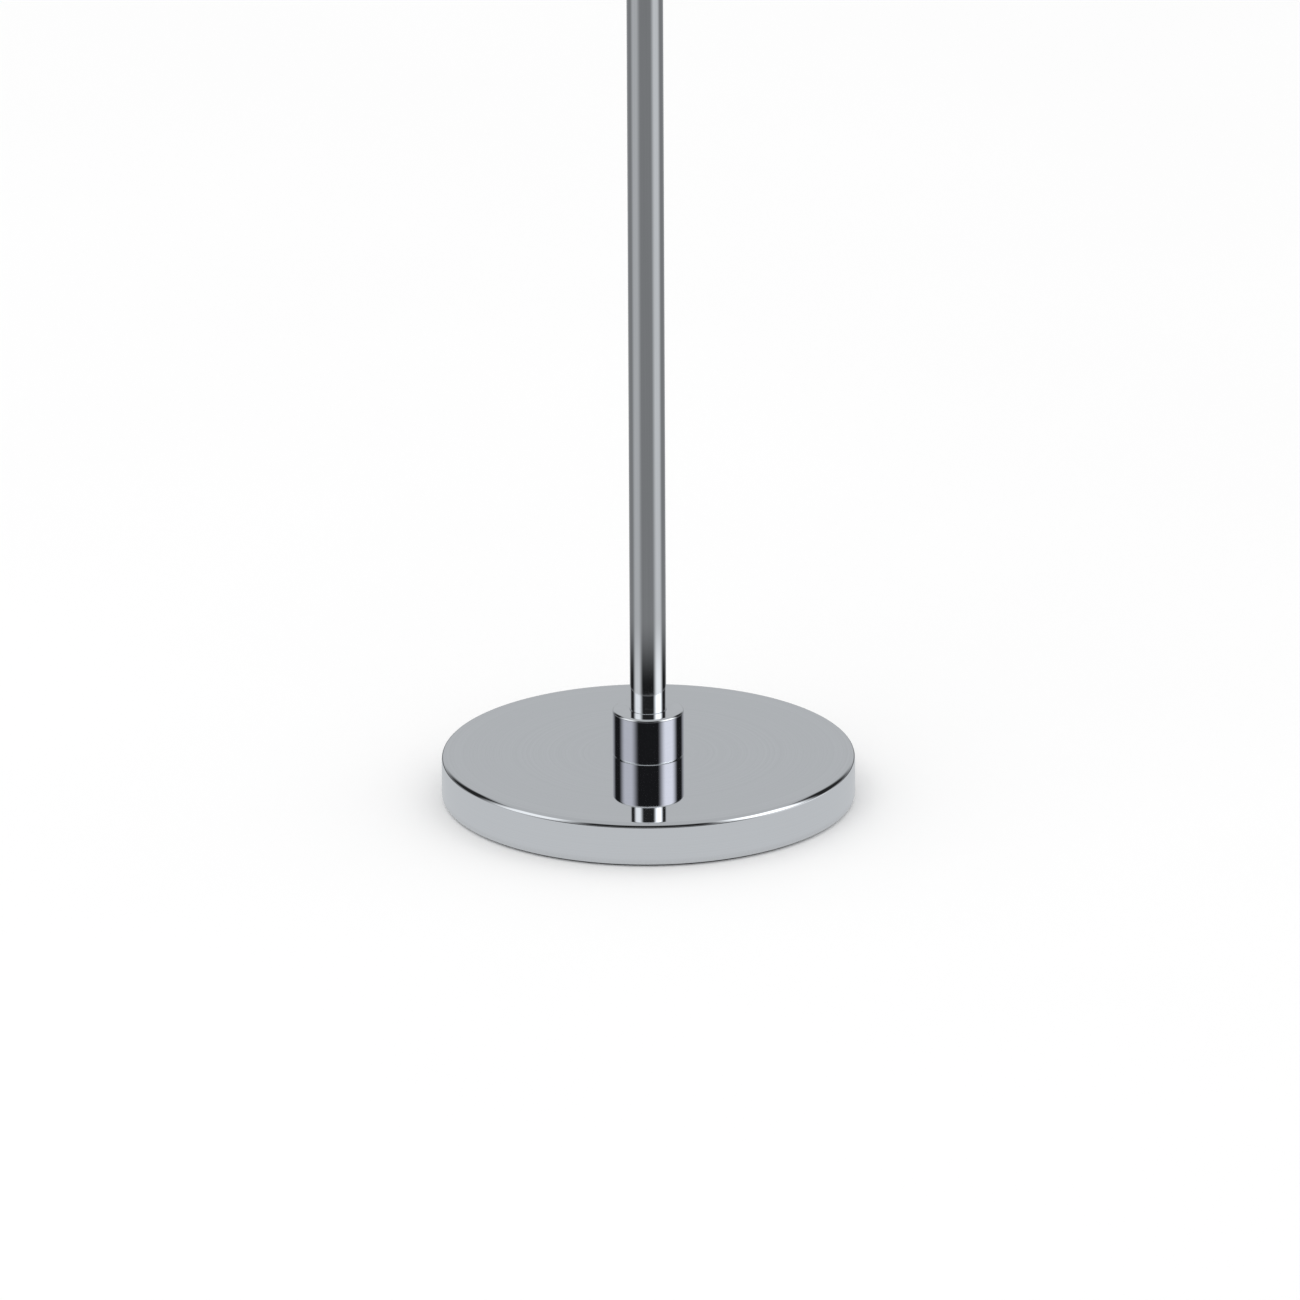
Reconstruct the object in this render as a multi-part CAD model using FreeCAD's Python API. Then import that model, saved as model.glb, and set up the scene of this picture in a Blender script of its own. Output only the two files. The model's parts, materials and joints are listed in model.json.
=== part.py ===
"""Hospital IV drip stand: a weighted round base, a fixed outer tube, a telescopic mast with four bag hooks,
and a screw clamp that holds the mast.

Frame: millimetres, +Z up, origin on the floor at the pole's axis. The clamp knob faces -Y.
The mast is modelled raised by MAST_RAISED above its lower stop.
"""
import FreeCAD, Part
import math
import os

from FreeCAD import Vector

# ---- Driving dimensions -------------------------------------------------------------------------------
POLE_RADIUS = 12.7  # one-inch outer tube
POLE_WALL = 1.5
MAST_RADIUS = 9.525  # three-quarter-inch inner tube
MAST_WALL = 1.2
TUBE_TOP = 1200.0  # upper end of the outer tube
STROKE = 800.0  # full travel of the mast
MAST_RAISED = 200.0  # how far above its lower stop the mast stands at rest
BASE_RADIUS = 145.0
BASE_TOP = 32.5  # the base's flat top, above the floor
PAD_THICK = 1.5
COVER_WALL = 1.5
COLLAR_RADIUS = 25.0
COLLAR_HEIGHT = 33.0
HOOK_COUNT = 4
HOOK_RADIUS = 3.175  # quarter-inch rod

RUN_FIT = 0.08  # radial clearance of a sliding or turning fit
CLOSE_FIT = 0.05  # radial clearance of pieces that don't move on each other
DRIVE_FIT = 0.02  # radial clearance of plugs that are driven or brazed in
THREAD_CLEARANCE = 0.5  # radial clearance of a plain hole round a screw
OVERCUT = 1.0  # how far a cutting tool runs past the face it opens
SAME = 0.01  # two measures closer than this are equal

# ---- Base ---------------------------------------------------------------------------------------------
COVER_TOP_BEND = 3.5  # outside radius of the cover's upper edge
COVER_FOOT_BEND = 2.5  # outside radius of the cover's curled foot
COVER_HEM_RADIUS = 138.0  # inner edge of the hem under the weight
PAD_OUTER = 141.0
PAD_INNER = 32.0
WEIGHT_FIT = 0.3  # between the weight and the cover's rim
WEIGHT_TOP_CHAMFER = 3.0
WEIGHT_FOOT_CHAMFER = 1.5
WEIGHT_POCKET_RADIUS = 28.0
WEIGHT_POCKET_TOP = 16.0
BOLT_RADIUS = 6.0  # M12
BOLT_HEAD_FLATS = 18.0
BOLT_HEAD_HEIGHT = 7.5
BOLT_HEAD_CROWN = 8.5  # radius of the head's flat end, inside its 30 degree crown
BOLT_POINT = 1.0  # chamfer at the bolt's end
FLAT_WASHER_RADIUS = 20.0
FLAT_WASHER_THICK = 3.0
SPRING_WASHER_RADIUS = 10.5
SPRING_WASHER_THICK = 2.6
SPRING_WASHER_SPLIT = 2.0
FOOT_PLUG_HEIGHT = 28.0
FOOT_PLUG_WALL = 4.0  # solid metal above the plug's blind thread
BOLT_END_GAP = 2.0
COLLAR_TOP_BEND = 2.0
COLLAR_FOOT_CHAMFER = 0.8
COLLAR_BORE_CHAMFER = 0.5
COLLAR_SCREW_RADIUS = 3.0
COLLAR_SCREW_UP = 16.0  # the set screw's axis, above the base
COLLAR_SCREW_SUNK = 1.0

# ---- Clamp at the top of the outer tube ---------------------------------------------------------------
TUBE_END_CHAMFER = 0.4
CLAMP_RADIUS = 18.0
CLAMP_BELOW = 32.0  # how far the clamp body reaches down over the tube
CLAMP_ABOVE = 36.0  # and how far it stands above the tube's end
CLAMP_END_BEND = 2.0
CLAMP_SCREW_UP = 18.0  # the clamp screw's axis, above the tube's end
CLAMP_GRUB_RADIUS = 2.5
CLAMP_GRUB_UP = 14.0  # the set screw's axis, above the clamp's lower end
CLAMP_GRUB_SUNK = 0.5
BOSS_RADIUS = 10.0
BOSS_REACH = 27.0
BOSS_CHAMFER = 1.2
BOSS_ROOT_BEND = 2.5
BUSH_RADIUS = 11.75
BUSH_SEAT_GAP = 0.2
BUSH_FLANGE_RADIUS = 15.0
BUSH_FLANGE_THICK = 2.5
BUSH_FLANGE_BEND = 1.2
SCREW_RADIUS = 4.0  # M8
PAD_FACE_GAP = 0.2  # between the shoe and the mast, with the clamp closed
SHOE_RADIUS = 3.8
SHOE_LENGTH = 4.0
PIVOT_RADIUS = 2.0
PIVOT_LENGTH = 1.8
PIVOT_SEAT_GAP = 0.2
SHOULDER_GAP = 0.1  # between the shoe's back and the screw's shoulder
KNOB_RADIUS = 21.0
KNOB_LOBES = 5
KNOB_SCALLOP_RADIUS = 11.0  # the hollows between the lobes
KNOB_SCALLOP_AWAY = 27.5  # and how far from the knob's axis they are centred
KNOB_EDGE_BEND = 2.5
KNOB_BACK = 33.0  # the knob's back and front faces, from the pole's axis
KNOB_FRONT = 50.0
KNOB_NECK = 30.0
KNOB_NECK_RADIUS = 9.0
KNOB_FACE_WALL = 6.0  # from the screw's end to the knob's face
KNOB_CAP_RADIUS = 8.0
KNOB_CAP_SEAT = 2.0
KNOB_CAP_PROUD = 0.4
KNOB_CAP_BEND = 0.8

# ---- Mast ---------------------------------------------------------------------------------------------
SLIDER_LENGTH = 30.0
SLIDER_BORE_GAP = 0.075
SLIDER_CHAMFER = 0.8
RING_THICK = 1.2
RING_OUTER_GAP = 0.5
RING_OPENING = 5.0
GROOVE_DEPTH = 0.45
GROOVE_SIDE_GAP = 0.05
STOP_GAP = 0.5  # what is left at each end of the mast's travel
END_FLANGE_GAP = 0.4
END_FLANGE_THICK = 3.0
END_FLANGE_CHAMFER = 1.0
END_PLUG_LENGTH = 16.0
SOCKET_DEPTH = 14.0  # how far the mast's head goes up into the hub
TOP_PLUG_LENGTH = 28.0
TOP_PLUG_WALL = 4.0  # solid metal below the plug's blind thread
HUB_SKIRT_RADIUS = 13.0
HUB_SKIRT_BEND = 1.2
HUB_STEP_UP = 11.0  # the head's lower shoulder, above the skirt's foot
HUB_RADIUS = 15.5
HUB_TOP_BEND = 3.0
HUB_STEP_BEND = 2.0
HUB_HEIGHT = 34.0
HOOK_UP = 23.0  # the hooks' axis, above the hub's lower face
HOOK_INNER_END = 7.0
HOOK_BORE_FIT = 0.025
HOOK_BORE_GAP = 0.2  # behind the rod's inner end
HUB_SCREW_RADIUS = 4.0
HUB_SCREW_CLEARANCE = 0.25
HUB_SCREW_HEAD_RADIUS = 6.5
HUB_SCREW_HEAD_HEIGHT = 4.6
HUB_SCREW_END_GAP = 2.0
HUB_SOCKET_FLATS = 6.0
HUB_SOCKET_DEPTH = 3.0
HUB_POCKET_RADIUS = 7.2
HUB_POCKET_DEPTH = 7.0
HUB_CAP_RADIUS = 10.5  # where the cap's dome would meet the hub's top
HUB_CAP_RISE = 4.5
HUB_CAP_EDGE = 0.6  # height of the cap's upright edge
HUB_CAP_GAP = 0.4  # over the screw's head
TIP_RADIUS = 5.5

# Each leg of the bent rod, from the hub outwards: ("run", length) or ("bend", radius, degrees, + is upwards).
HOOK_LEGS = [
    ("run", 17.0),
    ("bend", 14.0, 35.0),
    ("run", 14.0),
    ("bend", 15.0, -125.0),
    ("run", 8.0),
    ("bend", 13.0, 180.0),
    ("run", 14.0),
    ("bend", 16.0, -30.0),
    ("run", 4.0),
]

# ---- Derived places -----------------------------------------------------------------------------------
POLE_BORE = POLE_RADIUS - POLE_WALL
MAST_BORE = MAST_RADIUS - MAST_WALL
BOLT_HEAD_TOP = WEIGHT_POCKET_TOP - FLAT_WASHER_THICK - SPRING_WASHER_THICK
BOLT_END = BASE_TOP + FOOT_PLUG_HEIGHT - FOOT_PLUG_WALL - BOLT_END_GAP
COLLAR_TOP = BASE_TOP + COLLAR_HEIGHT
COLLAR_SCREW_Z = BASE_TOP + COLLAR_SCREW_UP
CLAMP_BOTTOM = TUBE_TOP - CLAMP_BELOW
CLAMP_TOP = TUBE_TOP + CLAMP_ABOVE
CLAMP_SCREW_Z = TUBE_TOP + CLAMP_SCREW_UP
CLAMP_GRUB_Z = CLAMP_BOTTOM + CLAMP_GRUB_UP
FLANGE_TOP = CLAMP_TOP + BUSH_FLANGE_THICK
SHOE_FACE = MAST_RADIUS + PAD_FACE_GAP
SHOE_BACK = SHOE_FACE + SHOE_LENGTH
SCREW_END = KNOB_FRONT - KNOB_FACE_WALL
HUB_BOTTOM = FLANGE_TOP + STOP_GAP + MAST_RAISED
MAST_TOP = HUB_BOTTOM + SOCKET_DEPTH
SLIDER_STACK = STOP_GAP + SLIDER_LENGTH + STOP_GAP + RING_THICK
MAST_BOTTOM = TUBE_TOP - STOP_GAP - STROKE - SLIDER_STACK + MAST_RAISED
GROOVE_Z = MAST_BOTTOM + SLIDER_STACK - RING_THICK
HOOK_Z = HUB_BOTTOM + HOOK_UP
HUB_TOP = HUB_BOTTOM + HUB_HEIGHT
POCKET_FLOOR = HUB_TOP - HUB_POCKET_DEPTH
TOP_PLUG_FOOT = MAST_TOP - TOP_PLUG_LENGTH

UP = Vector(0, 0, 1)
OUT = Vector(0, -1, 0)  # the way the clamp screw points out of the stand
BACK = Vector(0, 1, 0)
ORIGIN = Vector(0, 0, 0)


# ---- Small tools --------------------------------------------------------------------------------------
def post(radius, low, high):
    """A vertical cylinder on the pole's axis."""
    return Part.makeCylinder(radius, high - low, Vector(0, 0, low), UP)


def ring(outer, inner, low, high):
    """A vertical tube on the pole's axis."""
    return post(outer, low, high).cut(post(inner, low - OVERCUT, high + OVERCUT))


def bar(radius, start, end, height, way=OUT):
    """A horizontal cylinder through the pole's axis, from start to end along way, at a height."""
    return Part.makeCylinder(radius, end - start, Vector(0, 0, height) + way * start, way)


def hexagon(flats, thick, base, way):
    """A hexagonal prism, given its width across flats."""
    corner = flats / math.sqrt(3)
    side = Vector(1, 0, 0)
    across = way.cross(side)
    angles = [math.radians(60 * n) for n in range(7)]
    points = [base + side * (corner * math.cos(a)) + across * (corner * math.sin(a)) for a in angles]
    return Part.Face(Part.makePolygon(points)).extrude(way * thick)


def rim_edges(shape, radius, height):
    """The round edges of that radius about the pole's axis, at that height."""
    found = []
    for edge in shape.Edges:
        curve = edge.Curve
        if not isinstance(curve, Part.Circle):
            continue
        centred = math.hypot(curve.Center.x, curve.Center.y) < SAME
        if centred and abs(curve.Radius - radius) < SAME and abs(curve.Center.z - height) < SAME:
            found.append(edge)
    return found


def front_edges(shape, reach):
    """The edges that lie in the upright plane that far in front of the pole's axis."""
    return [e for e in shape.Edges if abs(e.BoundBox.YMin + reach) < SAME and e.BoundBox.YLength < SAME]


def turned(edges):
    """The solid of revolution of a closed outline, given as edges in the XZ plane."""
    face = Part.Face(Part.Wire(Part.__sortEdges__(edges)))
    return face.revolve(ORIGIN, UP, 360)


def line(a, b):
    """A straight edge in the XZ plane."""
    return Part.makeLine(Vector(a[0], 0, a[1]), Vector(b[0], 0, b[1]))


def arc(centre, radius, start, end):
    """An arc in the XZ plane about a centre, between two angles in degrees."""
    def at(degrees):
        turn = math.radians(degrees)
        return Vector(centre[0] + radius * math.cos(turn), 0, centre[1] + radius * math.sin(turn))

    return Part.Arc(at(start), at((start + end) / 2), at(end)).toShape()


def save(shape, name):
    """Writes one node, after checking that it is closed and valid."""
    for solid in shape.Solids:
        assert solid.isValid() and solid.Volume > 0, name
    shape.exportStep(f"parts/{name}.step")
    box = shape.BoundBox
    print(f"{name}: {len(shape.Solids)} solid, {shape.Volume:.0f} mm3, z {box.ZMin:.1f} to {box.ZMax:.1f}")


# ---- Base ---------------------------------------------------------------------------------------------
def base_cover():
    """The pressed and plated shell: flat top, rounded edge, straight rim and a hem under the weight."""
    top, foot = BASE_TOP, PAD_THICK
    rim = BASE_RADIUS
    inner = rim - COVER_WALL
    hole = BOLT_RADIUS + THREAD_CLEARANCE
    big, small = COVER_TOP_BEND, COVER_FOOT_BEND
    shoulder = rim - big
    heel = rim - small
    return turned([
        line((hole, top), (shoulder, top)),
        arc((shoulder, top - big), big, 90, 0),
        line((rim, top - big), (rim, foot + small)),
        arc((heel, foot + small), small, 0, -90),
        line((heel, foot), (COVER_HEM_RADIUS, foot)),
        line((COVER_HEM_RADIUS, foot), (COVER_HEM_RADIUS, foot + COVER_WALL)),
        line((COVER_HEM_RADIUS, foot + COVER_WALL), (heel, foot + COVER_WALL)),
        arc((heel, foot + small), small - COVER_WALL, -90, 0),
        line((inner, foot + small), (inner, top - big)),
        arc((shoulder, top - big), big - COVER_WALL, 0, 90),
        line((shoulder, top - COVER_WALL), (hole, top - COVER_WALL)),
        line((hole, top - COVER_WALL), (hole, top)),
    ])


def base_weight():
    """The cast iron slug that fills the cover, with a pocket underneath for the bolt's head."""
    radius = BASE_RADIUS - COVER_WALL - WEIGHT_FIT
    low, high = PAD_THICK + COVER_WALL, BASE_TOP - COVER_WALL
    slug = post(radius, low, high)
    slug = slug.makeChamfer(WEIGHT_TOP_CHAMFER, rim_edges(slug, radius, high))
    slug = slug.makeChamfer(WEIGHT_FOOT_CHAMFER, rim_edges(slug, radius, low))
    slug = slug.cut(post(BOLT_RADIUS + THREAD_CLEARANCE, low - OVERCUT, high + OVERCUT))
    return slug.cut(post(WEIGHT_POCKET_RADIUS, low - OVERCUT, WEIGHT_POCKET_TOP))


def base_pad():
    """The rubber mat glued under the base, open in the middle where the bolt is reached."""
    return ring(PAD_OUTER, PAD_INNER, 0, PAD_THICK)


def base_flat_washer():
    low = WEIGHT_POCKET_TOP - FLAT_WASHER_THICK
    return ring(FLAT_WASHER_RADIUS, BOLT_RADIUS + THREAD_CLEARANCE, low, WEIGHT_POCKET_TOP)


def base_spring_washer():
    """A split ring, shown flattened."""
    high = WEIGHT_POCKET_TOP - FLAT_WASHER_THICK
    corner = Vector(-SPRING_WASHER_SPLIT / 2, 0, BOLT_HEAD_TOP - OVERCUT)
    reach = SPRING_WASHER_RADIUS + OVERCUT
    split = Part.makeBox(SPRING_WASHER_SPLIT, reach, SPRING_WASHER_THICK + 2 * OVERCUT, corner)
    return ring(SPRING_WASHER_RADIUS, BOLT_RADIUS + THREAD_CLEARANCE / 2, BOLT_HEAD_TOP, high).cut(split)


def base_bolt():
    """The M12 bolt that pulls the pole down on the base."""
    foot = Vector(0, 0, BOLT_HEAD_TOP - BOLT_HEAD_HEIGHT)
    spread = BOLT_HEAD_HEIGHT * math.tan(math.radians(30))
    crown = Part.makeCone(BOLT_HEAD_CROWN, BOLT_HEAD_CROWN + spread, BOLT_HEAD_HEIGHT, foot, UP)
    head = hexagon(BOLT_HEAD_FLATS, BOLT_HEAD_HEIGHT, foot, UP).common(crown)
    shank = post(BOLT_RADIUS, BOLT_HEAD_TOP, BOLT_END)
    shank = shank.makeChamfer(BOLT_POINT, rim_edges(shank, BOLT_RADIUS, BOLT_END))
    return head.fuse(shank).removeSplitter()


def pole_foot_plug():
    """The threaded steel plug welded into the foot of the outer tube."""
    high = BASE_TOP + FOOT_PLUG_HEIGHT
    plug = post(POLE_BORE - CLOSE_FIT, BASE_TOP, high)
    return plug.cut(post(BOLT_RADIUS + CLOSE_FIT, BASE_TOP - OVERCUT, high - FOOT_PLUG_WALL))


def pole_collar():
    """The turned collar that stands on the base round the foot of the pole."""
    bore = POLE_RADIUS + CLOSE_FIT
    collar = ring(COLLAR_RADIUS, bore, BASE_TOP, COLLAR_TOP)
    collar = collar.makeFillet(COLLAR_TOP_BEND, rim_edges(collar, COLLAR_RADIUS, COLLAR_TOP))
    collar = collar.makeChamfer(COLLAR_FOOT_CHAMFER, rim_edges(collar, COLLAR_RADIUS, BASE_TOP))
    collar = collar.makeChamfer(COLLAR_BORE_CHAMFER, rim_edges(collar, bore, COLLAR_TOP))
    hole = bar(COLLAR_SCREW_RADIUS + CLOSE_FIT, bore - OVERCUT, COLLAR_RADIUS + OVERCUT, COLLAR_SCREW_Z, BACK)
    return collar.cut(hole)


def grub_screw(radius, outer_end, height):
    """A socket set screw at the back of the stand, its point against the pole."""
    screw = bar(radius, POLE_RADIUS + CLOSE_FIT, outer_end, height, BACK)
    socket = hexagon(radius, radius, Vector(0, outer_end - radius, height), BACK)
    return screw.cut(socket)


def collar_grub_screw():
    return grub_screw(COLLAR_SCREW_RADIUS, COLLAR_RADIUS - COLLAR_SCREW_SUNK, COLLAR_SCREW_Z)


def outer_tube():
    tube = ring(POLE_RADIUS, POLE_BORE, BASE_TOP, TUBE_TOP)
    return tube.makeChamfer(TUBE_END_CHAMFER, rim_edges(tube, POLE_RADIUS, TUBE_TOP))


# ---- Clamp --------------------------------------------------------------------------------------------
def clamp_shell():
    """The clamp casting before it is bored: a sleeve with a boss that grows out of its front."""
    sleeve = post(CLAMP_RADIUS, CLAMP_BOTTOM, CLAMP_TOP)
    ends = rim_edges(sleeve, CLAMP_RADIUS, CLAMP_TOP) + rim_edges(sleeve, CLAMP_RADIUS, CLAMP_BOTTOM)
    sleeve = sleeve.makeFillet(CLAMP_END_BEND, ends)
    boss = bar(BOSS_RADIUS, 0, BOSS_REACH, CLAMP_SCREW_Z)
    boss = boss.makeChamfer(BOSS_CHAMFER, front_edges(boss, BOSS_REACH))
    shell = sleeve.fuse(boss).removeSplitter()
    root = []
    for edge in shell.Edges:
        box = edge.BoundBox
        wide = box.XLength > BOSS_RADIUS and box.ZLength > BOSS_RADIUS
        if wide and box.YMax < -BOSS_RADIUS and box.YLength > SAME:
            root.append(edge)
    return shell.makeFillet(BOSS_ROOT_BEND, root)


def clamp_body():
    """The cast clamp: a sleeve over the tube's end with a threaded boss on its front."""
    grub_bore = CLAMP_GRUB_RADIUS + CLOSE_FIT
    body = clamp_shell()
    body = body.cut(post(POLE_RADIUS + CLOSE_FIT, CLAMP_BOTTOM - OVERCUT, TUBE_TOP))
    body = body.cut(post(BUSH_RADIUS, TUBE_TOP - OVERCUT, CLAMP_TOP + OVERCUT))
    body = body.cut(bar(SCREW_RADIUS + CLOSE_FIT, MAST_RADIUS, BOSS_REACH + OVERCUT, CLAMP_SCREW_Z))
    return body.cut(bar(grub_bore, MAST_RADIUS, CLAMP_RADIUS + OVERCUT, CLAMP_GRUB_Z, BACK))


def clamp_grub_screw():
    return grub_screw(CLAMP_GRUB_RADIUS, CLAMP_RADIUS - CLAMP_GRUB_SUNK, CLAMP_GRUB_Z)


def guide_bush():
    """The flanged nylon bush that the mast slides in, with a window for the clamp's shoe."""
    low = TUBE_TOP + BUSH_SEAT_GAP
    sleeve = post(BUSH_RADIUS - CLOSE_FIT, low, CLAMP_TOP)
    flange = post(BUSH_FLANGE_RADIUS, CLAMP_TOP, FLANGE_TOP)
    flange = flange.makeFillet(BUSH_FLANGE_BEND, rim_edges(flange, BUSH_FLANGE_RADIUS, FLANGE_TOP))
    bush = sleeve.fuse(flange).removeSplitter()
    bush = bush.cut(post(MAST_RADIUS + RUN_FIT, low - OVERCUT, FLANGE_TOP + OVERCUT))
    return bush.cut(bar(SHOE_RADIUS + THREAD_CLEARANCE, 0, BUSH_RADIUS + OVERCUT, CLAMP_SCREW_Z))


def clamp_shoe():
    """The brass shoe that presses on the mast, hollowed to the mast's curve."""
    seat = SHOE_BACK - PIVOT_LENGTH - PIVOT_SEAT_GAP
    shoe = bar(SHOE_RADIUS, 0, SHOE_BACK, CLAMP_SCREW_Z)
    shoe = shoe.cut(post(SHOE_FACE, CLAMP_SCREW_Z - BOSS_RADIUS, CLAMP_SCREW_Z + BOSS_RADIUS))
    return shoe.cut(bar(PIVOT_RADIUS + CLOSE_FIT, seat, SHOE_BACK + OVERCUT, CLAMP_SCREW_Z))


def clamp_screw():
    """The M8 screw: a small pivot that seats in the shoe, then the threaded shank up into the knob."""
    shoulder = SHOE_BACK + SHOULDER_GAP
    pivot = bar(PIVOT_RADIUS, SHOE_BACK - PIVOT_LENGTH, shoulder + OVERCUT, CLAMP_SCREW_Z)
    return pivot.fuse(bar(SCREW_RADIUS, shoulder, SCREW_END, CLAMP_SCREW_Z)).removeSplitter()


def clamp_knob():
    """The lobed hand knob, with a recess in its face for the cap."""
    disc = bar(KNOB_RADIUS, KNOB_BACK, KNOB_FRONT, CLAMP_SCREW_Z)
    back_centre = Vector(0, 0, CLAMP_SCREW_Z) + OUT * (KNOB_BACK - OVERCUT)
    thick = KNOB_FRONT - KNOB_BACK + 2 * OVERCUT
    for n in range(KNOB_LOBES):
        turn = 2 * math.pi * (n + 0.5) / KNOB_LOBES + math.pi / 2
        place = back_centre + Vector(math.cos(turn), 0, math.sin(turn)) * KNOB_SCALLOP_AWAY
        disc = disc.cut(Part.makeCylinder(KNOB_SCALLOP_RADIUS, thick, place, OUT))
    disc = disc.makeFillet(KNOB_EDGE_BEND, disc.Edges)
    knob = disc.fuse(bar(KNOB_NECK_RADIUS, KNOB_NECK, SCREW_END, CLAMP_SCREW_Z)).removeSplitter()
    knob = knob.cut(bar(SCREW_RADIUS + CLOSE_FIT, KNOB_NECK - OVERCUT, SCREW_END + CLOSE_FIT, CLAMP_SCREW_Z))
    return knob.cut(bar(KNOB_CAP_RADIUS, KNOB_FRONT - KNOB_CAP_SEAT, KNOB_FRONT + OVERCUT, CLAMP_SCREW_Z))


def clamp_knob_cap():
    """The disc that closes the recess in the knob's face."""
    face = KNOB_FRONT + KNOB_CAP_PROUD
    cap = bar(KNOB_CAP_RADIUS - CLOSE_FIT, KNOB_FRONT - KNOB_CAP_SEAT, face, CLAMP_SCREW_Z)
    return cap.makeFillet(KNOB_CAP_BEND, front_edges(cap, face))


# ---- Mast ---------------------------------------------------------------------------------------------
def slider_bush():
    """The nylon bush at the mast's foot. It slides in the outer tube, and the mast can turn in it."""
    radius = POLE_BORE - RUN_FIT
    low = MAST_BOTTOM + STOP_GAP
    high = low + SLIDER_LENGTH
    bush = ring(radius, MAST_RADIUS + SLIDER_BORE_GAP, low, high)
    return bush.makeChamfer(SLIDER_CHAMFER, rim_edges(bush, radius, low) + rim_edges(bush, radius, high))


def mast_retaining_ring():
    """The open spring ring in the mast's groove, which holds the slider bush from above."""
    inner = MAST_RADIUS - GROOVE_DEPTH + CLOSE_FIT
    closed = ring(POLE_BORE - RING_OUTER_GAP, inner, GROOVE_Z, GROOVE_Z + RING_THICK)
    opening = Part.makeBox(RING_OPENING, POLE_RADIUS, RING_THICK + 2 * OVERCUT,
                           Vector(-RING_OPENING / 2, 0, GROOVE_Z - OVERCUT))
    return closed.cut(opening)


def inner_tube():
    """The mast's tube, with the spring ring's groove near its foot."""
    tube = ring(MAST_RADIUS, MAST_BORE, MAST_BOTTOM, MAST_TOP)
    low, high = GROOVE_Z - GROOVE_SIDE_GAP, GROOVE_Z + RING_THICK + GROOVE_SIDE_GAP
    return tube.cut(ring(MAST_RADIUS + OVERCUT, MAST_RADIUS - GROOVE_DEPTH, low, high))


def mast_end_plug():
    """The flanged plug driven into the mast's foot, which holds the slider bush from below."""
    radius = POLE_BORE - END_FLANGE_GAP
    low = MAST_BOTTOM - END_FLANGE_THICK
    flange = post(radius, low, MAST_BOTTOM)
    flange = flange.makeChamfer(END_FLANGE_CHAMFER, rim_edges(flange, radius, low))
    spigot = post(MAST_BORE - DRIVE_FIT, MAST_BOTTOM - OVERCUT, MAST_BOTTOM + END_PLUG_LENGTH)
    return flange.fuse(spigot).removeSplitter()


def mast_top_plug():
    """The threaded plug fixed in the mast's head, which takes the hub's screw."""
    plug = post(MAST_BORE - DRIVE_FIT, TOP_PLUG_FOOT, MAST_TOP)
    return plug.cut(post(HUB_SCREW_RADIUS + CLOSE_FIT, TOP_PLUG_FOOT + TOP_PLUG_WALL, MAST_TOP + OVERCUT))


def hub_shell():
    """The hub before it is bored: a skirt with a wider, rounded head on it."""
    step = HUB_BOTTOM + HUB_STEP_UP
    skirt = post(HUB_SKIRT_RADIUS, HUB_BOTTOM, step + OVERCUT)
    skirt = skirt.makeFillet(HUB_SKIRT_BEND, rim_edges(skirt, HUB_SKIRT_RADIUS, HUB_BOTTOM))
    head = post(HUB_RADIUS, step, HUB_TOP)
    head = head.makeFillet(HUB_TOP_BEND, rim_edges(head, HUB_RADIUS, HUB_TOP))
    head = head.makeFillet(HUB_STEP_BEND, rim_edges(head, HUB_RADIUS, step))
    return skirt.fuse(head).removeSplitter()


def hook_hub():
    """The cast head, bored for the mast, drilled for the hooks, and with a pocket for the screw."""
    hub = hub_shell()
    hub = hub.cut(post(MAST_RADIUS + CLOSE_FIT, HUB_BOTTOM - OVERCUT, MAST_TOP))
    hub = hub.cut(post(HUB_SCREW_RADIUS + HUB_SCREW_CLEARANCE, MAST_TOP - OVERCUT, HUB_TOP + OVERCUT))
    hub = hub.cut(post(HUB_POCKET_RADIUS, POCKET_FLOOR, HUB_TOP + OVERCUT))
    for way in hook_ways():
        start, end = HOOK_INNER_END - HOOK_BORE_GAP, HUB_RADIUS + OVERCUT
        hub = hub.cut(bar(HOOK_RADIUS + HOOK_BORE_FIT, start, end, HOOK_Z, way))
    return hub


def hub_screw():
    """The socket screw that holds the hub down on the mast."""
    head_top = POCKET_FLOOR + HUB_SCREW_HEAD_HEIGHT
    socket = hexagon(HUB_SOCKET_FLATS, HUB_SOCKET_DEPTH, Vector(0, 0, head_top - HUB_SOCKET_DEPTH), UP)
    head = post(HUB_SCREW_HEAD_RADIUS, POCKET_FLOOR, head_top).cut(socket)
    shank = post(HUB_SCREW_RADIUS, TOP_PLUG_FOOT + TOP_PLUG_WALL + HUB_SCREW_END_GAP, POCKET_FLOOR)
    return head.fuse(shank).removeSplitter()


def hub_cap():
    """The domed cap that closes the hub's pocket."""
    dome_radius = (HUB_CAP_RADIUS ** 2 + HUB_CAP_RISE ** 2) / (2 * HUB_CAP_RISE)
    dome_centre = HUB_TOP + HUB_CAP_RISE - dome_radius
    low = POCKET_FLOOR + HUB_SCREW_HEAD_HEIGHT + HUB_CAP_GAP
    plug = HUB_POCKET_RADIUS - CLOSE_FIT
    brim_top = HUB_TOP + HUB_CAP_EDGE
    edge_angle = math.degrees(math.asin((brim_top - dome_centre) / dome_radius))
    edge = dome_radius * math.cos(math.radians(edge_angle))
    return turned([
        line((0, low), (plug, low)),
        line((plug, low), (plug, HUB_TOP)),
        line((plug, HUB_TOP), (edge, HUB_TOP)),
        line((edge, HUB_TOP), (edge, brim_top)),
        arc((0, dome_centre), dome_radius, edge_angle, 90),
        line((0, HUB_TOP + HUB_CAP_RISE), (0, low)),
    ])


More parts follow.
